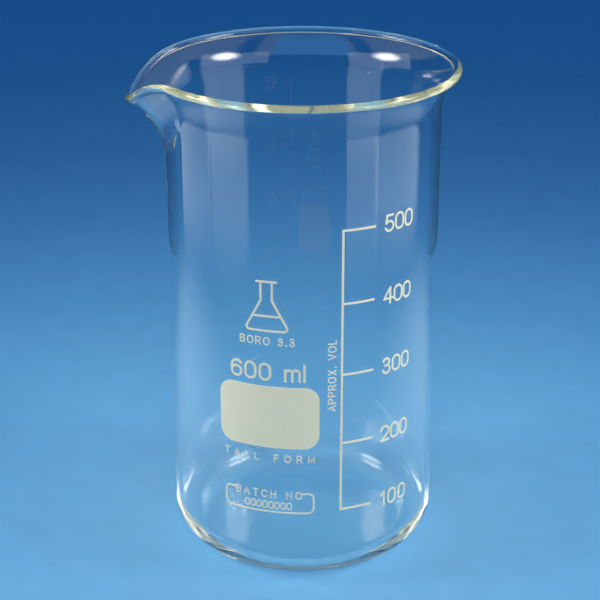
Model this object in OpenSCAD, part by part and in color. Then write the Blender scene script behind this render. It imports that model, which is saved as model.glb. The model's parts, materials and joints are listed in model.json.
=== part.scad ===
// Tall-form laboratory beaker of blown borosilicate glass, with fired enamel markings on its wall.
// The origin is at the centre of the foot, on the standing surface. +Z is up, the spout points
// along -X and the markings face -Y.

/* [Vessel] */
// Outside diameter of the wall
body_d = 80; // [76:0.5:84]
// Height from the standing surface to the top of the rim
height = 150; // [145:1:160]
// Thickness of the wall
wall = 1.75; // [1.4:0.05:2.1]
// Thickness of the base
base_t = 3; // [2:0.1:4]
// Outside radius of the rounded heel between base and wall
heel_r = 12; // [9:0.5:14]
// Radius of the hollow under the base
hollow_r = 24; // [18:0.5:24]
// Depth of the hollow under the base
hollow_depth = 0.8; // [0.4:0.1:1.2]

/* [Rim] */
// Outside diameter of the beaded rim
rim_d = 90.8; // [88:0.1:93]
// Diameter of the bead along the rim
bead_d = 2.4; // [2.2:0.1:3]
// Height of the flare between the straight wall and the top of the rim
flare_h = 13; // [11:0.5:15]

/* [Spout] */
// How far the lip of the spout stands out past the rim
spout_reach = 5.6; // [3:0.1:7]
// How far the lip of the spout dips below the rim
spout_drop = 9; // [5:0.5:10]
// Angle that the outward pull of the spout covers, to one side
reach_angle = 31; // [26:1:36]
// Angle that the dip of the spout covers, to one side
drop_angle = 40; // [34:1:44]
// Height below the rim at which the wall starts to lean into the spout
spout_depth = 32; // [30:1:38]

/* [Scale] */
// Distance along the wall from the middle of the front to the scale's upright line
spine_x = 11.1; // [8:0.1:14]
// Length of a graduation mark
mark_length = 9.8; // [6:0.1:12]
// Width of the lines of the scale
line_w = 0.65; // [0.4:0.05:0.9]
// Height of the graduation figures
figure_h = 5.2; // [4:0.1:6]
// Gap between a graduation mark and its figure
figure_gap = 2.9; // [2:0.1:4]

/* [Markings] */
// How far the fired enamel stands proud of the glass
enamel_t = 0.12; // [0.08:0.01:0.2]
// Distance along the wall from the middle of the front to the middle of the markings
label_x = -10.4; // [-12:0.1:-9]
// Width of the writing panel
panel_w = 30.2; // [24:0.1:32]
// Height of the writing panel
panel_h = 19.5; // [14:0.1:20]
// Height of the lower edge of the writing panel
panel_z = 46.6; // [44:0.1:50]
// Height of the capacity figure
capacity_h = 5.6; // [4:0.1:6.5]
// Height of the small lettering
small_h = 2.5; // [2:0.1:2.7]
// Height of the flask sign
sign_h = 15.4; // [12:0.1:16]

/* [Hidden] */

$fn = 96;
GLASS_COLOR = [0.75, 0.86, 0.92, 0.35];
ENAMEL_COLOR = [0.87, 0.88, 0.83];
// Graduations of the scale, in millilitres
MARKS = [100, 200, 300, 400, 500];

body_r = body_d / 2;
bore_r = body_r - wall;
inner_heel_r = heel_r - wall;
foot_r = body_r - heel_r;
bead_r = bead_d / 2;
// Radius and height of the middle of the bead
bead_x = rim_d / 2 - bead_r;
bead_z = height - bead_r;
neck_z = height - flare_h;

// The flare is an arc that leaves the wall upright and runs through the middle of the bead
flare_out = bead_x - body_r;
flare_up = bead_z - neck_z;
flare_r = (flare_up ^ 2 + flare_out ^ 2 - (wall / 2) ^ 2) / (2 * (flare_out + wall / 2));
flare_angle = asin(flare_up / (flare_r + wall / 2));
// Half the angle of the bead that is hidden inside the wall
root_angle = asin(wall / bead_d);
flare_end = flare_angle - asin(bead_r * cos(root_angle) / (flare_r + wall / 2));

// Height at which the wall starts to dip into the spout
lean_z = height - spout_depth;
// The straight wall ends a little lower, and the rim with its spout begins
ring_below_lean = 2;
ring_z = lean_z - ring_below_lean;
// Height at which the wall starts to move outward into the spout
pull_below_neck = 7;
pull_z = neck_z - pull_below_neck;
reach_power = 0.55;
drop_power = 1.7;
pull_power = 1.6;
// How far the rim's flat facets stay inside the round wall where the two meet
facet_gap = 0.01;
fine_step = 3;
coarse_step = 6;
fine_angle = ceil(drop_angle / coarse_step) * coarse_step;
wall_steps = 6;
flare_steps = 6;
bead_steps = 10;

// Height of a volume in the straight part of the vessel: the rounded heel and the raised floor
// take some of the room that a plain cylinder would have. The corner that a round heel fills has
// its centroid at this part of the heel's radius.
heel_centroid = 0.22;
heel_loss = 2 * PI * (1 - PI / 4) * inner_heel_r ^ 2 * (bore_r - heel_centroid * inner_heel_r);
floor_loss = PI * hollow_r ^ 2 * hollow_depth / 2;
function volume_z(ml) = base_t + (ml * 1000 + heel_loss + floor_loss) / (PI * bore_r ^ 2);

scale_bottom = volume_z(MARKS[0]);
scale_top = volume_z(MARKS[len(MARKS) - 1]);

// Strokes of the lettering
figure_stroke = 0.62;
capacity_stroke = 0.72;
small_stroke = 0.36;
sign_stroke = 0.6;
figure_length = 2.1 * figure_h;
capacity_length = 4 * capacity_h;
note_length = 22.4;
type_length = 16.2;
form_length = 27.6;
heading_length = 20.2;
digits_length = 14.4;
// Heights on which the lines of lettering stand
type_z = 78.9;
capacity_z = 67.8;
form_z = 42;
heading_z = 30;
digits_z = 26.4;
// Distance along the wall from the middle of the front to the feet of the note on the scale
note_x = 9.5;
panel_corner = 4.2;
frame_w = 27.5;
frame_h = 6.9;
frame_z = 25.2;
frame_corner = 1.5;
frame_stub = 1.6;
frame_stroke = 0.5;
sign_z = 83;
// Angle between the points of a round stretch of lettering
arc_step = 15;
// Longest point that a sharp turn of a stroke may have, in half widths of the stroke
sharpest_turn = 1.6;

// Points along an arc around [x, y], from one angle to another
function bend(x, y, r, from, to) =
    let (steps = ceil(abs(to - from) / arc_step))
    [for (i = [0:steps]) let (a = from + (to - from) * i / steps) [x + r * cos(a), y + r * sin(a)]];

// A full circle as a closed path, anticlockwise
function ring_path(x, y, r) = [for (a = [0:arc_step:359]) [x + r * cos(a), y + r * sin(a)]];

// A closed upright loop with round ends: the shape of a nought
function loop_path(width) =
    let (r = width / 2)
    concat(bend(r, 1 - r, r, 0, 180), bend(r, r, r, 180, 360));

// Lettering on a grid one unit high. Each glyph is [advance, open strokes, closed strokes], and
// each stroke is the path of its middle line. A closed stroke runs anticlockwise.
function glyph(c) =
    c == "0" ? [0.62, [], [loop_path(0.62)]] :
    c == "1" ? [0.4, [[[0.34, 0], [0.34, 1]], [[0.06, 0.78], [0.3, 0.9]]], []] :
    c == "2" ? [0.62, [concat(bend(0.31, 0.69, 0.31, 172, -38), [[0.05, 0.04]]),
                       [[0.02, 0], [0.62, 0]]], []] :
    c == "3" ? [0.62, [concat(bend(0.3, 0.76, 0.24, 160, -90), [[0.22, 0.52]]),
                       bend(0.31, 0.26, 0.27, 86, -162)], []] :
    c == "4" ? [0.66, [[[0.49, 0], [0.49, 1]], [[0.45, 0.96], [0, 0.3], [0.66, 0.3]]], []] :
    c == "5" ? [0.62, [[[0.56, 1], [0.12, 1], [0.06, 0.52]], bend(0.3, 0.31, 0.31, 136, -158)], []] :
    c == "6" ? [0.62, [concat(bend(0.34, 0.64, 0.34, 38, 180), [[0, 0.36]])],
                [ring_path(0.31, 0.31, 0.31)]] :
    c == "A" ? [0.72, [[[0, 0], [0.36, 1], [0.72, 0]], [[0.18, 0.33], [0.54, 0.33]]], []] :
    c == "B" ? [0.62, [], [concat([[0, 1], [0, 0.53]], bend(0.36, 0.765, 0.235, -90, 90)),
                           concat([[0, 0.53], [0, 0]], bend(0.35, 0.265, 0.265, -90, 90))]] :
    c == "C" ? [0.66, [concat(bend(0.35, 0.65, 0.35, 25, 180), bend(0.35, 0.35, 0.35, 180, 335))], []] :
    c == "F" ? [0.56, [[[0, 0], [0, 1], [0.52, 1]], [[0.1, 0.53], [0.42, 0.53]]], []] :
    c == "H" ? [0.64, [[[0, 0], [0, 1]], [[0.64, 0], [0.64, 1]], [[0.1, 0.53], [0.54, 0.53]]], []] :
    c == "L" ? [0.52, [[[0, 1], [0, 0], [0.48, 0]]], []] :
    c == "M" ? [0.76, [[[0, 0], [0, 1], [0.38, 0.1], [0.76, 1], [0.76, 0]]], []] :
    c == "N" ? [0.66, [[[0, 0], [0, 1], [0.66, 0], [0.66, 1]]], []] :
    c == "O" ? [0.74, [], [loop_path(0.74)]] :
    c == "P" ? [0.62, [[[0, 0], [0, 0.36]]],
                [concat([[0, 1], [0, 0.46]], bend(0.35, 0.73, 0.27, -90, 90))]] :
    c == "R" ? [0.64, [[[0, 0], [0, 0.36]], [[0.38, 0.4], [0.62, 0.02]]],
                [concat([[0, 1], [0, 0.46]], bend(0.35, 0.73, 0.27, -90, 90))]] :
    c == "T" ? [0.66, [[[0.33, 0], [0.33, 0.9]], [[0.04, 1], [0.62, 1]]], []] :
    c == "V" ? [0.7, [[[0, 1], [0.35, 0], [0.7, 1]]], []] :
    c == "X" ? [0.66, [[[0.03, 0], [0.63, 1]], [[0.03, 1], [0.63, 0]]], []] :
    c == "m" ? [0.84, [[[0, 0], [0, 0.68]],
                       concat(bend(0.21, 0.49, 0.21, 165, 0), [[0.42, 0]]),
                       concat(bend(0.63, 0.49, 0.21, 165, 0), [[0.84, 0]])], []] :
    c == "l" ? [0.02, [[[0.01, 0], [0.01, 1]]], []] :
    c == "." ? [0.06, [[[0.03, 0], [0.03, 0.04]]], []] :
    [0.34, [], []];

// Widths of the first n glyphs of a word, without the gaps between them
function advance(word, n) = n == 0 ? 0 : glyph(word[n - 1])[0] + advance(word, n - 1);

// Gap that brings a word of the given letter height to the given length
function letter_gap(word, h, length) =
    (length - h * advance(word, len(word))) / (len(word) - 1);

function unit(v) = v / norm(v);

// The path moved sideways by d, to the left of its direction. A sharp turn is cut short.
function beside(path, d, closed) =
    let (n = len(path))
    [for (i = [0:n - 1])
        let (
            before = unit(closed || i > 0 ? path[i] - path[(i - 1 + n) % n] : path[1] - path[0]),
            after = closed || i < n - 1 ? unit(path[(i + 1) % n] - path[i]) : before,
            along = unit(before + after),
            reach = min(sharpest_turn, 1 / (along * before))
        )
        path[i] + d * reach * [-along[1], along[0]]
    ];

// The path with both ends moved outward by d
function lengthened(path, d) =
    let (n = len(path))
    [for (i = [0:n - 1])
        i == 0 ? path[0] + d * unit(path[0] - path[1]) :
        i == n - 1 ? path[i] + d * unit(path[i] - path[i - 1]) :
        path[i]
    ];

function reversed(list) = [for (i = [len(list) - 1:-1:0]) list[i]];

// Line of width w along an open path, with square ends
module open_stroke(path, w) {
    long = lengthened(path, w / 2);
    polygon(concat(beside(long, w / 2, false), reversed(beside(long, -w / 2, false))));
}

// Line of width w along a closed path that runs anticlockwise
module closed_stroke(path, w) {
    difference() {
        polygon(beside(path, -w / 2, true));
        polygon(beside(path, w / 2, true));
    }
}

module letter(c, h, w) {
    shape = glyph(c);
    for (path = shape[1]) open_stroke(path * (h - w), w);
    for (path = shape[2]) closed_stroke(path * (h - w), w);
}

// Thin shell on the outside of the wall, between two heights
module skin(z1, z2) {
    translate([0, 0, z1]) difference() {
        cylinder(r = body_r + enamel_t, h = z2 - z1);
        translate([0, 0, -1]) cylinder(r = body_r, h = z2 - z1 + 2);
    }
}

// Wraps a flat shape onto the wall. The shape's origin comes at distance x along the wall from
// the middle of the front, at height z. The shape reaches no further than size from its origin.
module on_wall(x, z, size) {
    intersection() {
        skin(z - size, z + size);
        rotate(x / body_r * 180 / PI) translate([0, 0, z]) rotate([90, 0, 0])
            translate([0, 0, body_r - size]) linear_extrude(size + 1) children();
    }
}

// Lettering across the wall, centred on x and standing on height z
module word_across(word, x, z, h, w, length) {
    inner = h - w;
    gap = letter_gap(word, inner, length - w);
    start = x - (length - w) / 2;
    for (i = [0:len(word) - 1]) if (word[i] != " ") {
        at = start + inner * advance(word, i) + gap * i;
        half = inner * glyph(word[i])[0] / 2;
        on_wall(at + half, z + w / 2, 2 * h) translate([-half, 0]) letter(word[i], h, w);
    }
}

// Lettering that reads upward, with its feet at distance x along the wall, centred on height z
module word_upward(word, x, z, h, w, length) {
    inner = h - w;
    gap = letter_gap(word, inner, length - w);
    start = z - (length - w) / 2;
    for (i = [0:len(word) - 1]) if (word[i] != " ")
        on_wall(x - h / 2, start + inner * advance(word, i) + gap * i, 2 * h)
            translate([inner / 2, 0]) rotate(90) letter(word[i], h, w);
}

// Level line along the wall from x1 to x2, at height z
module level_line(x1, x2, z, w) {
    turn = x1 / body_r * 180 / PI - 90;
    translate([0, 0, z - w / 2]) rotate(turn) rotate_extrude(angle = (x2 - x1) / body_r * 180 / PI)
        translate([body_r, 0]) square([enamel_t, w]);
}

// Upright line on x, between two heights, with square ends
module upright_line(x, z1, z2, w) {
    level_line(x - w / 2, x + w / 2, (z1 + z2) / 2, z2 - z1 + w);
}

// Half width of a wrapped shape, seen square on
function flat_width(x) = body_r * sin(x / body_r * 180 / PI);

// Half of the outline of a cup with a rounded heel, from the axis outward
module cup_outline(r, heel, h) {
    translate([0, heel]) square([r, h - heel]);
    square([r - heel, h]);
    translate([r - heel, heel]) circle(r = heel);
}

// Shallow dome that is radius r wide and depth deep
module dome_outline(r, depth) {
    sphere_r = (r ^ 2 + depth ^ 2) / (2 * depth);
    intersection() {
        translate([0, depth - sphere_r]) circle(r = sphere_r);
        square([r, 2 * depth]);
    }
}

// Straight wall, heel and base, up to the height where the rim begins
module straight_body() {
    rotate_extrude() {
        difference() {
            cup_outline(body_r, heel_r, ring_z);
            translate([0, base_t]) cup_outline(bore_r, inner_heel_r, height);
            dome_outline(hollow_r, hollow_depth);
        }
        translate([0, base_t]) dome_outline(hollow_r, hollow_depth);
    }
}

// Point of the rim's section on the flare arc: side is 1 outside and -1 inside
function flare_point(side, a) =
    let (middle = flare_r + wall / 2)
    [body_r + flare_r - (middle - side * wall / 2) * cos(a),
     neck_z + (middle - side * wall / 2) * sin(a),
     neck_z + middle * sin(a)];

function wall_point(r, z) = [r, z, z];

// Point of the bead, at an angle from the direction in which the flare runs out
function bead_point(b) =
    [bead_x + bead_r * sin(flare_angle + b), bead_z + bead_r * cos(flare_angle + b), bead_z];

// Section of the rim from the outside foot over the bead to the inside foot. The third number
// is the height at which the point follows the spout.
outer_facet_r = body_r - facet_gap;
inner_facet_r = (bore_r + facet_gap) / cos(coarse_step / 2);
rim_section = concat(
    [for (i = [0:wall_steps - 1]) wall_point(outer_facet_r, ring_z + (neck_z - ring_z) * i / wall_steps)],
    [for (i = [0:flare_steps]) flare_point(1, flare_end * i / flare_steps)],
    [for (i = [1:bead_steps - 1])
        bead_point((180 - root_angle) * (1 - 2 * i / bead_steps))],
    [for (i = [flare_steps:-1:0]) flare_point(-1, flare_end * i / flare_steps)],
    [for (i = [wall_steps - 1:-1:0])
        wall_point(inner_facet_r, ring_z + (neck_z - ring_z) * i / wall_steps)]
);

// Smooth bump: 1 in the middle of the spout and 0 from the given angle on
function bump(a, half, power) = abs(a) >= half ? 0 : ((1 + cos(180 * a / half)) / 2) ^ power;

// Smooth rise from 0 at height z1 to 1 at height z2
function rise(z, z1, z2) =
    let (t = min(1, max(0, (z - z1) / (z2 - z1))))
    t * t * (3 - 2 * t);

// A point of the section, turned to angle a from the spout and pulled into the spout
function rim_point(p, a) =
    let (
        pull = max(0, (p[2] - pull_z) / (bead_z - pull_z)) ^ pull_power,
        r = p[0] + spout_reach * bump(a, reach_angle, reach_power) * pull,
        z = p[1] - spout_drop * bump(a, drop_angle, drop_power) * rise(p[2], lean_z, neck_z)
    )
    [-r * cos(a), -r * sin(a), z];

rim_angles = concat(
    [for (a = [-fine_angle:fine_step:fine_angle]) a],
    [for (a = [fine_angle + coarse_step:coarse_step:360 - fine_angle - coarse_step]) a]
);

// Flared and beaded rim with its spout, as one closed ring
module rim_ring() {
    n = len(rim_section);
    m = len(rim_angles);
    points = [for (a = rim_angles) for (p = rim_section) rim_point(p, a)];
    faces = [
        for (j = [0:m - 1]) for (i = [0:n - 1])
            let (k = (j + 1) % m, l = (i + 1) % n)
            each [
                [j * n + i, j * n + l, k * n + l],
                [j * n + i, k * n + l, k * n + i]
            ]
    ];
    polyhedron(points, faces, convexity = 6);
}

module glass_vessel() {
    color(GLASS_COLOR) {
        straight_body();
        rim_ring();
    }
}

module scale_spine() {
    color(ENAMEL_COLOR) upright_line(spine_x, scale_bottom, scale_top, line_w);
}

module graduation(ml) {
    color(ENAMEL_COLOR) level_line(spine_x + line_w / 2, spine_x + mark_length, volume_z(ml), line_w);
}

module figure_of(ml) {
    x = spine_x + mark_length + figure_gap + figure_length / 2;
    z = volume_z(ml) - figure_h / 2;
    color(ENAMEL_COLOR) word_across(str(ml), x, z, figure_h, figure_stroke, figure_length);
}

module scale_note() {
    middle = (scale_bottom + scale_top) / 2;
    color(ENAMEL_COLOR)
        word_upward("APPROX. VOL", note_x, middle, small_h, small_stroke, note_length);
}

module capacity_figure() {
    color(ENAMEL_COLOR)
        word_across("600 ml", label_x, capacity_z, capacity_h, capacity_stroke, capacity_length);
}

module glass_type_mark() {
    color(ENAMEL_COLOR) word_across("BORO 3.3", label_x, type_z, small_h, small_stroke, type_length);
}

module form_mark() {
    color(ENAMEL_COLOR) word_across("TALL FORM", label_x, form_z, small_h, small_stroke, form_length);
}

module batch_heading() {
    color(ENAMEL_COLOR)
        word_across("BATCH NO", label_x, heading_z, small_h, small_stroke, heading_length);
}

module batch_digits() {
    color(ENAMEL_COLOR)
        word_across("00000000", label_x, digits_z, small_h, small_stroke, digits_length);
}

// Solid field with round corners, left free for writing on with a pencil
module writing_panel() {
    x = flat_width(panel_w / 2) - panel_corner;
    y = panel_h / 2 - panel_corner;
    outline = concat(
        bend(x, y, panel_corner, 0, 90),
        bend(-x, y, panel_corner, 90, 180),
        bend(-x, -y, panel_corner, 180, 270),
        bend(x, -y, panel_corner, 270, 360)
    );
    color(ENAMEL_COLOR) on_wall(label_x, panel_z + panel_h / 2, panel_w) polygon(outline);
}

// Open frame around the batch number: a bottom line, two sides, and a short stub on each side
module batch_frame() {
    x = flat_width((frame_w - frame_stroke) / 2) - frame_corner;
    low = frame_corner;
    high = frame_h - frame_stroke - frame_corner;
    path = concat(
        [[-x + frame_stub, high + frame_corner]],
        bend(-x, high, frame_corner, 90, 180),
        bend(-x, low, frame_corner, 180, 270),
        bend(x, low, frame_corner, 270, 360),
        bend(x, high, frame_corner, 0, 90),
        [[x - frame_stub, high + frame_corner]]
    );
    color(ENAMEL_COLOR) on_wall(label_x, frame_z + frame_stroke / 2, frame_w)
        open_stroke(path, frame_stroke);
}

// Plain sign of a conical flask: it marks ordinary laboratory glass
module flask_sign() {
    w = sign_stroke;
    top = sign_h - w;
    neck = 0.11 * top;
    shoulder = 0.62 * top;
    corner = 0.06 * top;
    base = 0.34 * top;
    level = 0.3 * top;
    lip = 0.19 * top;
    lean = 27;
    corner_x = base + corner * cos(lean);
    corner_y = corner + corner * sin(lean);
    level_half = neck + (corner_x - neck) * (shoulder - level) / (shoulder - corner_y) - w;
    outline = concat(
        [[-neck, top - w], [-neck, shoulder]],
        bend(-base, corner, corner, 180 - lean, 270),
        bend(base, corner, corner, 270, 360 + lean),
        [[neck, shoulder], [neck, top - w]]
    );
    color(ENAMEL_COLOR) on_wall(label_x, sign_z + w / 2, sign_h + w) {
        open_stroke(outline, w);
        open_stroke([[-lip, top], [lip, top]], w);
        open_stroke([[-level_half, level], [level_half, level]], w);
    }
}

glass_vessel();
scale_spine();
for (ml = MARKS) {
    graduation(ml);
    figure_of(ml);
}
scale_note();
flask_sign();
glass_type_mark();
capacity_figure();
writing_panel();
form_mark();
batch_frame();
batch_heading();
batch_digits();
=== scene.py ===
"""Tall-form laboratory beaker: blown glass with fired enamel markings, on a plain floor."""

import json
import math

import bmesh
import bpy
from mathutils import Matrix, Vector


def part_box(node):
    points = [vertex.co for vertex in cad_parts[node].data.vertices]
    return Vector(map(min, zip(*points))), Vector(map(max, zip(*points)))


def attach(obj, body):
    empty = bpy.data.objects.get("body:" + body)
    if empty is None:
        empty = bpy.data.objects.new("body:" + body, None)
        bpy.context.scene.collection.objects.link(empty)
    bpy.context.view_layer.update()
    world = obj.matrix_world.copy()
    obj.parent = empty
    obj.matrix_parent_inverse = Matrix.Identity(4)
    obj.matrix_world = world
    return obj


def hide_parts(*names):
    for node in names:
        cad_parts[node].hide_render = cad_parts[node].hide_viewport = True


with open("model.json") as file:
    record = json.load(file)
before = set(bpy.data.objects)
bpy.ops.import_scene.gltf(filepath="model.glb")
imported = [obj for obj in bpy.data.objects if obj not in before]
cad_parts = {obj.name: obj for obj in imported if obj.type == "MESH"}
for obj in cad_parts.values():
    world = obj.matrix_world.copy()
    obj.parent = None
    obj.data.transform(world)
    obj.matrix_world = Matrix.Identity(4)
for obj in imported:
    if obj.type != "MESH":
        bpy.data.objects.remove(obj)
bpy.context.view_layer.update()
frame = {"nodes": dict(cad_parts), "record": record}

MM = 0.001
BODY = "root"
ENAMEL_NODES = [name for name in frame["nodes"] if name != "glass_vessel"]

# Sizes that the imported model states
MOUNTS = {mount["name"]: mount for mount in frame["record"]["mounts"]}
VESSEL_LOW, VESSEL_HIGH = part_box("glass_vessel")
HEIGHT = VESSEL_HIGH.z
RIM_R = VESSEL_HIGH.x
SPOUT_REACH = -VESSEL_LOW.x - RIM_R
BORE_R = MOUNTS["inside"]["dims"]["r_mm"] * MM
# The glass closes around the back of the enamel, because the two are fused
ENAMEL_SINK = 0.02 * MM
WALL_R = MOUNTS["outside"]["dims"]["r_mm"] * MM + ENAMEL_SINK

# Shape of the vessel
BASE_T = 3 * MM
HEEL_R = 12 * MM
HOLLOW_R = 24 * MM
HOLLOW_DEPTH = 0.8 * MM
BEAD_R = 1.2 * MM
FLARE_H = 13 * MM
SPOUT_DROP = 9 * MM
SPOUT_DEPTH = 32 * MM
PULL_BELOW_NECK = 7 * MM
REACH_ANGLE = math.radians(31)
DROP_ANGLE = math.radians(40)
REACH_POWER = 0.55
DROP_POWER = 1.7
PULL_POWER = 1.6
TURNS = 288
DOME_STEPS = 16
HEEL_STEPS = 24
WALL_STEPS = 12
LEAN_STEPS = 20
FLARE_STEPS = 20
BEAD_STEPS = 32

NECK_Z = HEIGHT - FLARE_H
LEAN_Z = HEIGHT - SPOUT_DEPTH
PULL_Z = NECK_Z - PULL_BELOW_NECK
BEAD_X = RIM_R - BEAD_R
BEAD_Z = HEIGHT - BEAD_R
WALL_T = WALL_R - BORE_R
FLARE_OUT = BEAD_X - WALL_R
FLARE_UP = BEAD_Z - NECK_Z
FLARE_R = (FLARE_UP**2 + FLARE_OUT**2 - (WALL_T / 2) ** 2) / (2 * (FLARE_OUT + WALL_T / 2))
FLARE_MIDDLE = FLARE_R + WALL_T / 2
FLARE_ANGLE = math.asin(FLARE_UP / FLARE_MIDDLE)
BEAD_ROOT = math.asin(WALL_T / 2 / BEAD_R)
FLARE_END = FLARE_ANGLE - math.asin(BEAD_R * math.cos(BEAD_ROOT) / FLARE_MIDDLE)


def spread(start, end, steps):
    """Even steps from start to end, both included."""
    return [start + (end - start) * i / steps for i in range(steps + 1)]


def dome(radius, depth, z, steps):
    """Section of a shallow dome, from the axis outward."""
    sphere = (radius**2 + depth**2) / (2 * depth)
    middle = z + depth - sphere
    return [(r, middle + math.sqrt(sphere**2 - r * r)) for r in spread(0, radius, steps)]


def heel(radius, middle_r, middle_z, steps):
    """Section of the rounded heel, from the foot up to the wall."""
    return [
        (middle_r + radius * math.sin(a), middle_z - radius * math.cos(a))
        for a in spread(0, math.pi / 2, steps)
    ]


def still(points):
    """Points of a section that follow the spout at their own height."""
    return [(r, z, z) for r, z in points]


def flare(side, steps):
    """Section of the flare, on the outside for side 1 and on the inside for side -1."""
    radius = FLARE_MIDDLE - side * WALL_T / 2
    return [
        (
            WALL_R + FLARE_R - radius * math.cos(a),
            NECK_Z + radius * math.sin(a),
            NECK_Z + FLARE_MIDDLE * math.sin(a),
        )
        for a in spread(0, FLARE_END, steps)
    ]


def bead(steps):
    """Section of the bead, from the outside of the flare over the top to the inside."""
    turns = [FLARE_ANGLE + b for b in spread(math.pi - BEAD_ROOT, BEAD_ROOT - math.pi, steps)]
    return [(BEAD_X + BEAD_R * math.sin(a), BEAD_Z + BEAD_R * math.cos(a), BEAD_Z) for a in turns]


def wall(radius, low):
    """Section of the straight wall, from its low end up to the neck."""
    straight = spread(low, LEAN_Z, WALL_STEPS)
    leaning = spread(LEAN_Z, NECK_Z, LEAN_STEPS)
    return [(radius, z) for z in straight + leaning[1:]]


def vessel_section():
    """Section from the middle of the hollow, round the outside and the rim, to the inside floor."""
    inner_heel = HEEL_R - WALL_T
    inner_low = BASE_T + inner_heel
    outside_heel = heel(HEEL_R, WALL_R - HEEL_R, HEEL_R, HEEL_STEPS)
    inside_heel = heel(inner_heel, BORE_R - inner_heel, inner_low, HEEL_STEPS)
    return (
        still(dome(HOLLOW_R, HOLLOW_DEPTH, 0, DOME_STEPS))
        + still(outside_heel)
        + still(wall(WALL_R, HEEL_R)[1:])
        + flare(1, FLARE_STEPS)[1:]
        + bead(BEAD_STEPS)[1:-1]
        + flare(-1, FLARE_STEPS)[:0:-1]
        + still(wall(BORE_R, inner_low)[:0:-1])
        + still(inside_heel[::-1])
        + still(dome(HOLLOW_R, HOLLOW_DEPTH, BASE_T, DOME_STEPS)[::-1])
    )


def bump(angle, half, power):
    """1 in the middle of the spout, and 0 from the given angle on."""
    if abs(angle) >= half:
        return 0
    return ((1 + math.cos(math.pi * angle / half)) / 2) ** power


def rise(z, start, end):
    """Smooth rise from 0 at start to 1 at end."""
    t = min(1, max(0, (z - start) / (end - start)))
    return t * t * (3 - 2 * t)


def spouted(point, angle):
    """A point of the section, turned to an angle from the spout and pulled into the spout."""
    r, z, follow = point
    pull = max(0, (follow - PULL_Z) / (BEAD_Z - PULL_Z)) ** PULL_POWER
    r += SPOUT_REACH * bump(angle, REACH_ANGLE, REACH_POWER) * pull
    z -= SPOUT_DROP * bump(angle, DROP_ANGLE, DROP_POWER) * rise(follow, LEAN_Z, NECK_Z)
    return Vector((-r * math.cos(angle), -r * math.sin(angle), z))


def smooth_object(name, mesh):
    """Object in the scene that takes over a bmesh, with smooth shading."""
    data = bpy.data.meshes.new(name)
    mesh.to_mesh(data)
    mesh.free()
    data.shade_smooth()
    made = bpy.data.objects.new(name, data)
    bpy.context.scene.collection.objects.link(made)
    return made


def lathe(name, section, turns):
    """Closed mesh that a section makes round the axis. The section starts and ends on the axis."""
    mesh = bmesh.new()
    first = mesh.verts.new(spouted(section[0], 0))
    last = mesh.verts.new(spouted(section[-1], 0))
    angles = [2 * math.pi * j / turns - math.pi for j in range(turns)]
    rings = [[mesh.verts.new(spouted(p, a)) for p in section[1:-1]] for a in angles]
    for j, ring in enumerate(rings):
        after = rings[(j + 1) % turns]
        mesh.faces.new((first, ring[0], after[0]))
        mesh.faces.new((last, after[-1], ring[-1]))
        for i in range(len(ring) - 1):
            mesh.faces.new((ring[i], ring[i + 1], after[i + 1], after[i]))
    bmesh.ops.recalc_face_normals(mesh, faces=mesh.faces)
    return smooth_object(name, mesh)


def new_material(name):
    """A node material, its node tree and its shader."""
    material = bpy.data.materials.new(name)
    material.use_nodes = True
    tree = material.node_tree
    return material, tree, tree.nodes["Principled BSDF"]


def noise(tree, scale, detail, roughness=0.5):
    """Noise over the object's own space."""
    place = tree.nodes.new("ShaderNodeTexCoord")
    made = tree.nodes.new("ShaderNodeTexNoise")
    made.inputs["Scale"].default_value = scale
    made.inputs["Detail"].default_value = detail
    made.inputs["Roughness"].default_value = roughness
    tree.links.new(place.outputs["Object"], made.inputs["Vector"])
    return made


def ramp(tree, source, stops):
    """Colours along a value: stops are (place, colour), in order."""
    made = tree.nodes.new("ShaderNodeValToRGB")
    elements = made.color_ramp.elements
    elements[0].position, elements[0].color = stops[0]
    elements[1].position, elements[1].color = stops[-1]
    for place, colour in stops[1:-1]:
        elements.new(place).color = colour
    tree.links.new(source, made.inputs["Fac"])
    return made


def bump_into(tree, shader, source, strength, distance):
    """Bends the surface's normal by a height value."""
    made = tree.nodes.new("ShaderNodeBump")
    made.inputs["Strength"].default_value = strength
    made.inputs["Distance"].default_value = distance
    tree.links.new(source, made.inputs["Height"])
    tree.links.new(made.outputs["Normal"], shader.inputs["Normal"])


GLASS_COLOUR = (0.985, 0.995, 0.99, 1)
GLASS_IOR = 1.473
# Olive tint that shows only where light runs a long way inside the glass
GLASS_DEPTH_COLOUR = (0.89, 0.85, 0.0, 1)
GLASS_DEPTH_DENSITY = 0.8


def glass_material():
    """Clear borosilicate glass with the slight waviness of blown work."""
    material, tree, shader = new_material("clear_glass")
    shader.inputs["Base Color"].default_value = GLASS_COLOUR
    shader.inputs["Roughness"].default_value = 0.0
    shader.inputs["IOR"].default_value = GLASS_IOR
    shader.inputs["Transmission Weight"].default_value = 1.0
    waves = noise(tree, 28, 1)
    bump_into(tree, shader, waves.outputs["Fac"], 0.12, 0.4 * MM)
    depth = tree.nodes.new("ShaderNodeVolumeAbsorption")
    depth.inputs["Color"].default_value = GLASS_DEPTH_COLOUR
    depth.inputs["Density"].default_value = GLASS_DEPTH_DENSITY
    tree.links.new(depth.outputs["Volume"], tree.nodes["Material Output"].inputs["Volume"])
    return material


ENAMEL_LIGHT = (0.91, 0.82, 0.58, 1)
ENAMEL_DARK = (0.88, 0.79, 0.55, 1)


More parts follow.
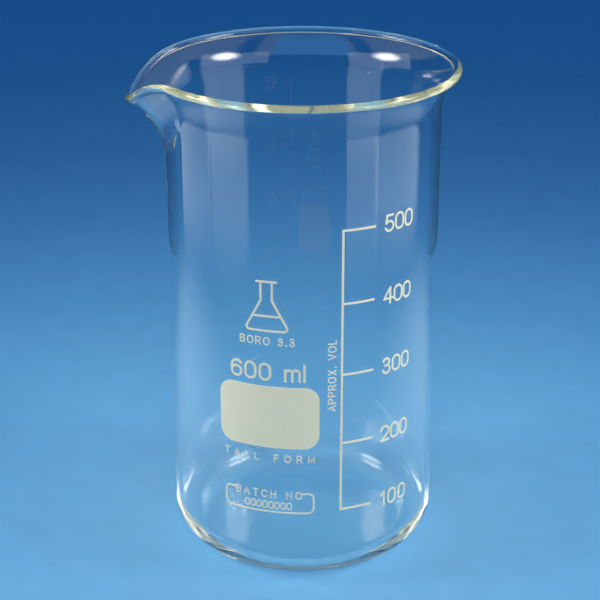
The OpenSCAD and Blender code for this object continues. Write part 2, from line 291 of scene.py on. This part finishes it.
def enamel_material(name, roughness, grain):
    """Cream enamel with a faint mottle and a fine grain."""
    material, tree, shader = new_material(name)
    mottle = noise(tree, 160, 4, 0.6)
    colour = ramp(tree, mottle.outputs["Fac"], [(0.3, ENAMEL_DARK), (0.7, ENAMEL_LIGHT)])
    tree.links.new(colour.outputs["Color"], shader.inputs["Base Color"])
    shader.inputs["Roughness"].default_value = roughness
    fine = noise(tree, grain, 2)
    bump_into(tree, shader, fine.outputs["Fac"], 0.3, 0.05 * MM)
    return material


# Colour of the paper by distance from the object, in metres: a painted pool of light, pale near the
# object and a deeper blue far out where the painted light falls off
PAINTED_POOL_STOPS = [
    (0.025, (0.21, 0.56, 0.92, 1)),
    (0.05, (0.19, 0.485, 0.82, 1)),
    (0.10, (0.163, 0.468, 0.825, 1)),
    (0.20, (0.095, 0.325, 0.66, 1)),
    (0.30, (0.055, 0.215, 0.515, 1)),
    (0.40, (0.034, 0.165, 0.43, 1)),
    (0.55, (0.020, 0.132, 0.395, 1)),
    (0.75, (0.018, 0.13, 0.43, 1)),
]
FIBRE_STOPS = [(0.3, (0.94, 0.94, 0.94, 1)), (0.7, (1, 1, 1, 1))]


def floor_material():
    """Matt paper with a painted pool of light: pale in the middle and a deeper blue far out."""
    material, tree, shader = new_material("floor_with_painted_pool")
    place = tree.nodes.new("ShaderNodeTexCoord")
    far = tree.nodes.new("ShaderNodeVectorMath")
    far.operation = "LENGTH"
    tree.links.new(place.outputs["Object"], far.inputs[0])
    # Painted pool of light: the paper is pale close to the object and darkens to deep blue with
    # distance
    painted_pool = ramp(tree, far.outputs["Value"], PAINTED_POOL_STOPS)
    paper = noise(tree, 90, 3)
    fibres = ramp(tree, paper.outputs["Fac"], FIBRE_STOPS)
    mix = tree.nodes.new("ShaderNodeMixRGB")
    mix.blend_type = "MULTIPLY"
    mix.inputs["Fac"].default_value = 1
    tree.links.new(painted_pool.outputs["Color"], mix.inputs["Color1"])
    tree.links.new(fibres.outputs["Color"], mix.inputs["Color2"])
    tree.links.new(mix.outputs["Color"], shader.inputs["Base Color"])
    shader.inputs["Roughness"].default_value = 0.9
    shader.inputs["Specular IOR Level"].default_value = 0.0
    return material


def make_vessel():
    """The glass, in place of its plainer CAD solid."""
    vessel = lathe("beaker_glass", vessel_section(), TURNS)
    vessel.data.materials.append(glass_material())
    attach(vessel, BODY)
    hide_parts("glass_vessel")


def finish_enamel():
    """Glossy enamel on the lines and lettering, and matt enamel on the writing panel."""
    line_enamel = enamel_material("fired_enamel", 0.45, 2400)
    field_enamel = enamel_material("matt_enamel", 0.7, 3200)
    for name in ENAMEL_NODES:
        node = frame["nodes"][name]
        node.material_slots[0].material = field_enamel if name == "writing_panel" else line_enamel


FLOOR_MIDDLE_R = 0.1
FLOOR_R = 1.3
FLOOR_TURNS = 96
# The paper lies a hair under the glass, so that the two faces don't coincide
FLOOR_GAP = 0.05 * MM
COVE_R = 0.6
COVE_H = 0.9


def make_stage():
    """Round floor that curves up into a low wall all round."""
    section = [(r, 0) for r in spread(FLOOR_MIDDLE_R, FLOOR_R, 12)]
    section += [
        (FLOOR_R + COVE_R * math.sin(a), COVE_R * (1 - math.cos(a)))
        for a in spread(0, math.pi / 2, 16)[1:]
    ]
    section.append((FLOOR_R + COVE_R, COVE_H))
    mesh = bmesh.new()
    middle = mesh.verts.new((0, 0, 0))
    angles = [2 * math.pi * j / FLOOR_TURNS for j in range(FLOOR_TURNS)]
    rings = [
        [mesh.verts.new((r * math.cos(a), r * math.sin(a), z)) for a in angles]
        for r, z in section
    ]
    for j in range(FLOOR_TURNS):
        k = (j + 1) % FLOOR_TURNS
        mesh.faces.new((middle, rings[0][j], rings[0][k]))
        for inner, outer in zip(rings, rings[1:]):
            mesh.faces.new((inner[j], outer[j], outer[k], inner[k]))
    floor = smooth_object("floor", mesh)
    floor.data.materials.append(floor_material())
    floor.location.z = -FLOOR_GAP


def softbox(name, azimuth, distance, height, size, power, colour, target, shape="RECTANGLE"):
    """Area lamp at an azimuth from the front, facing the target. The camera doesn't see it."""
    data = bpy.data.lights.new(name, "AREA")
    data.shape = shape
    data.size, data.size_y = size
    data.energy = power
    data.color = colour
    lamp = bpy.data.objects.new(name, data)
    angle = math.radians(azimuth)
    lamp.location = (distance * math.sin(angle), -distance * math.cos(angle), height)
    lamp.rotation_euler = (Vector(target) - lamp.location).to_track_quat("-Z", "Y").to_euler()
    lamp.visible_camera = False
    bpy.context.scene.collection.objects.link(lamp)
    return lamp


def light_only_matt(lamp):
    """Hides a lamp from reflections and from what shows through glass."""
    lamp.visible_glossy = False
    lamp.visible_transmission = False


def combine(tree, operation, first, second):
    """Math node on an output and on an output or a number."""
    made = tree.nodes.new("ShaderNodeMath")
    made.operation = operation
    tree.links.new(first, made.inputs[0])
    if isinstance(second, (int, float)):
        made.inputs[1].default_value = second
    else:
        tree.links.new(second, made.inputs[1])
    return made


def lamp_nodes(lamp):
    """A lamp's node tree, the place on its face, and its strength socket."""
    lamp.data.use_nodes = True
    tree = lamp.data.node_tree
    place = tree.nodes.new("ShaderNodeNewGeometry")
    return tree, place.outputs["Parametric"], tree.nodes["Emission"].inputs["Strength"]


def smooth_step(tree, source, start, end):
    """Smooth rise of a value from 0 at start to 1 at end."""
    made = tree.nodes.new("ShaderNodeMapRange")
    made.interpolation_type = "SMOOTHSTEP"
    made.inputs["From Min"].default_value = start
    made.inputs["From Max"].default_value = end
    tree.links.new(source, made.inputs["Value"])
    return made.outputs["Result"]


def finish_panel(lamp):
    """Lets a panel fade out over its lowest part, and hides it from straight looks through glass."""
    tree, place, strength = lamp_nodes(lamp)
    split = tree.nodes.new("ShaderNodeSeparateXYZ")
    tree.links.new(place, split.inputs["Vector"])
    fade = smooth_step(tree, split.outputs["Y"], 0, PANEL_FADE)
    path = tree.nodes.new("ShaderNodeLightPath")
    direct = combine(tree, "LESS_THAN", path.outputs["Transmission Depth"], 1.5)
    shown = combine(tree, "MAXIMUM", path.outputs["Glossy Depth"], direct.outputs["Value"])
    shown.use_clamp = True
    product = combine(tree, "MULTIPLY", fade, shown.outputs["Value"])
    tree.links.new(product.outputs["Value"], strength)


def fade_edges(lamp):
    """Lets a lamp grow dimmer from its middle to its edge."""
    tree, place, strength = lamp_nodes(lamp)
    off = tree.nodes.new("ShaderNodeVectorMath")
    off.operation = "DISTANCE"
    off.inputs[1].default_value = (0.5, 0.5, 0)
    tree.links.new(place, off.inputs[0])
    tree.links.new(smooth_step(tree, off.outputs["Value"], 0.5, 0.1), strength)


def make_world():
    """Room around the floor, by direction. It shows in the glass, and lights nothing matt."""
    world = bpy.data.worlds.new("studio")
    world.use_nodes = True
    tree = world.node_tree
    place = tree.nodes.new("ShaderNodeTexCoord")
    split = tree.nodes.new("ShaderNodeSeparateXYZ")
    tree.links.new(place.outputs["Generated"], split.inputs["Vector"])
    front = combine(tree, "MULTIPLY", split.outputs["Y"], -1)
    turn = combine(tree, "ARCTAN2", split.outputs["X"], front.outputs["Value"])
    scale = tree.nodes.new("ShaderNodeMapRange")
    scale.inputs["From Min"].default_value = -math.pi
    scale.inputs["From Max"].default_value = math.pi
    tree.links.new(turn.outputs["Value"], scale.inputs["Value"])
    around = ramp(tree, scale.outputs["Result"], ROUND_STOPS)
    height = ramp(tree, split.outputs["Z"], HEIGHT_STOPS)
    mix = tree.nodes.new("ShaderNodeMixRGB")
    tree.links.new(height.outputs["Alpha"], mix.inputs["Fac"])
    tree.links.new(around.outputs["Color"], mix.inputs["Color1"])
    tree.links.new(height.outputs["Color"], mix.inputs["Color2"])
    tree.links.new(mix.outputs["Color"], tree.nodes["Background"].inputs["Color"])
    bpy.context.scene.world = world
    world.cycles_visibility.diffuse = False


def at(azimuth):
    """Place on the ramp round the room, from an azimuth in degrees."""
    return (azimuth + 180) / 360


# Colours of the room by azimuth and by height of direction
BACK = (0.09, 0.18, 0.30, 1)
WARM = (0.50, 0.49, 0.28, 1)
DARK = (0.02, 0.018, 0.015, 1)
COOL = (0.26, 0.76, 1.30, 1)
ROUND_STOPS = [
    (at(-180), BACK),
    (at(-145), BACK),
    (at(-115), WARM),
    (at(-70), WARM),
    (at(-63), DARK),
    (at(-52), DARK),
    (at(-47), WARM),
    (at(-42), COOL),
    (at(25), COOL),
    (at(30), WARM),
    (at(40), WARM),
    (at(46), DARK),
    (at(58), DARK),
    (at(66), WARM),
    (at(115), WARM),
    (at(145), BACK),
    (at(180), BACK),
]
LOW = (0.06, 0.15, 0.30)
HIGH = (0.30, 0.36, 0.36)
HEIGHT_STOPS = [
    (0.0, (*LOW, 1)),
    (0.1, (*LOW, 1)),
    (0.3, (*LOW, 0)),
    (0.8, (*HIGH, 0)),
    (1.0, (*HIGH, 1)),
]

PANEL_COLOUR = (0.86, 1.0, 0.97)
KEY_COLOUR = (1.0, 0.96, 0.84)
CEILING_COLOUR = (0.86, 0.94, 1.0)
# Bluish, because the light that it gives the backs of the marks loses blue in the tinted glass
BACK_FILL_COLOUR = (0.27, 0.33, 1.0)
# Points that the lamps face
WALL_MIDDLE = (0, 0, 0.1)
LABEL_MIDDLE = (0, 0, 0.08)

PANEL_R = 0.25
PANEL_H = 0.3
PANEL_FADE = 0.15
PANEL_GLOW = 1.05
CARD_GLOW = 1.6 * PANEL_GLOW
# Name, azimuths of the two edges, glow, and whether it is seen along paths that end through glass
PANELS = [
    ("left_panel", -78, -43, PANEL_GLOW, True),
    ("right_panel", 58, 104, PANEL_GLOW, True),
    ("near_card", 33, 59, CARD_GLOW, False),
    ("far_card", -112, -77, CARD_GLOW, False),
]


def standing_panel(name, start, end, glow, seen_through_glass, receivers):
    """Panel on the floor that faces the object, between two azimuths. It lights only the object."""
    half = math.radians((end - start) / 2)
    width = 2 * PANEL_R * math.tan(half)
    power = glow * math.pi * width * PANEL_H
    middle_z = PANEL_H / 2
    size = (width, PANEL_H)
    azimuth = (start + end) / 2
    target = (0, 0, middle_z)
    panel = softbox(name, azimuth, PANEL_R, middle_z, size, power, PANEL_COLOUR, target)
    panel.visible_transmission = seen_through_glass
    panel.light_linking.receiver_collection = receivers
    finish_panel(panel)


def floor_glow(name, side, receivers):
    """Soft patch of light on the floor beside the object, for the low part of the wall."""
    above = (side * 0.169, 0.021, 1)
    size = (0.22, 0.30)
    glow = softbox(name, side * 97, 0.17, 0.003, size, 0.16, PANEL_COLOUR, above, "ELLIPSE")
    glow.visible_transmission = False
    glow.visible_diffuse = False
    glow.light_linking.receiver_collection = receivers
    fade_edges(glow)


def key_lamp(name, azimuth):
    """Soft lamp that also makes one of the two bright spots in the flare."""
    key = softbox(name, azimuth, 0.75, 0.48, (0.5, 0.28), 5.0, KEY_COLOUR, WALL_MIDDLE, "ELLIPSE")
    fade_edges(key)


def front_fill():
    """Lights the fronts of the marks, and the floor a little."""
    light_only_matt(softbox("front_fill", 0, 1.1, 0.9, (0.9, 0.6), 5.0, KEY_COLOUR, LABEL_MIDDLE))


def back_fill(marks):
    """Lights the backs of the marks through the glass, and nothing else."""
    size = (1.2, 0.8)
    fill = softbox("back_fill", 180, 1.2, 0.9, size, 30.0, BACK_FILL_COLOUR, LABEL_MIDDLE)
    light_only_matt(fill)
    fill.light_linking.receiver_collection = marks
    fill.light_linking.blocker_collection = marks


def ceiling(marks):
    """Broad lamp overhead. The glass casts no shadow in its light."""
    lamp = softbox("ceiling", 0, 0.0, 2.4, (3.0, 3.0), 39.0, CEILING_COLOUR, (0, 0, 0), "DISK")
    light_only_matt(lamp)
    lamp.light_linking.blocker_collection = marks


def collected(name, members):
    """Collection of named objects, for lamps that light or are blocked by only those."""
    made = bpy.data.collections.new(name)
    for member in members:
        made.objects.link(bpy.data.objects[member])
    return made


def make_lights():
    shown = collected("shown", ["beaker_glass"] + ENAMEL_NODES)
    printed = collected("printed", ENAMEL_NODES)
    for name, start, end, glow, seen_through_glass in PANELS:
        standing_panel(name, start, end, glow, seen_through_glass, shown)
    floor_glow("left_glow", -1, shown)
    floor_glow("right_glow", 1, shown)
    key_lamp("left_key", -80)
    key_lamp("right_key", 74)
    front_fill()
    back_fill(printed)
    ceiling(printed)


FLAG_AZIMUTH = 140
FLAG_DISTANCE = 0.26
FLAG_SIZE = 0.16
FLAG_H = 0.26
VELVET_STOPS = [(0.3, (0.012, 0.009, 0.007, 1)), (0.7, (0.03, 0.022, 0.016, 1))]


def flag_material():
    """Black velvet."""
    material, tree, shader = new_material("velvet")
    pile = noise(tree, 900, 3)
    colour = ramp(tree, pile.outputs["Fac"], VELVET_STOPS)
    tree.links.new(colour.outputs["Color"], shader.inputs["Base Color"])
    shader.inputs["Roughness"].default_value = 1.0
    return material


def make_flag(name, azimuth, material):
    """Upright dark card behind the object, which shows only in glancing reflections."""
    angle = math.radians(azimuth)
    across = Vector((math.cos(angle), math.sin(angle), 0)) * FLAG_SIZE / 2
    foot = Vector((math.sin(angle), -math.cos(angle), 0)) * FLAG_DISTANCE
    up = Vector((0, 0, FLAG_H))
    corners = [foot - across, foot + across, foot + across + up, foot - across + up]
    mesh = bpy.data.meshes.new(name)
    mesh.from_pydata([tuple(corner) for corner in corners], [], [(0, 1, 2, 3)])
    mesh.materials.append(material)
    flag = bpy.data.objects.new(name, mesh)
    bpy.context.scene.collection.objects.link(flag)
    flag.visible_camera = False
    flag.visible_transmission = False
    flag.visible_diffuse = False
    flag.visible_shadow = False


def make_flags():
    material = flag_material()
    make_flag("left_flag", -FLAG_AZIMUTH, material)
    make_flag("right_flag", FLAG_AZIMUTH, material)


CAMERA_DISTANCE = 0.4587
CAMERA_HEIGHT = 0.2701
CAMERA_SIDE = -0.0009
CAMERA_PITCH = 22.9
CAMERA_LENS = 98.58
CAMERA_SENSOR = 36


def make_camera():
    data = bpy.data.cameras.new("camera")
    data.lens = CAMERA_LENS
    data.sensor_width = CAMERA_SENSOR
    data.clip_start = 0.01
    camera = bpy.data.objects.new("camera", data)
    camera.location = (CAMERA_SIDE, -CAMERA_DISTANCE, CAMERA_HEIGHT)
    camera.rotation_euler = (math.radians(90 - CAMERA_PITCH), 0, 0)
    bpy.context.scene.collection.objects.link(camera)
    bpy.context.scene.camera = camera


# The rim carries light a long way round inside the glass
BOUNCES = 256


def set_light_paths():
    scene = bpy.context.scene
    scene.view_settings.view_transform = "Standard"
    scene.cycles.max_bounces = BOUNCES
    scene.cycles.transmission_bounces = BOUNCES
    scene.cycles.glossy_bounces = BOUNCES


make_camera()
make_stage()
make_world()
make_vessel()
finish_enamel()
make_lights()
make_flags()
set_light_paths()
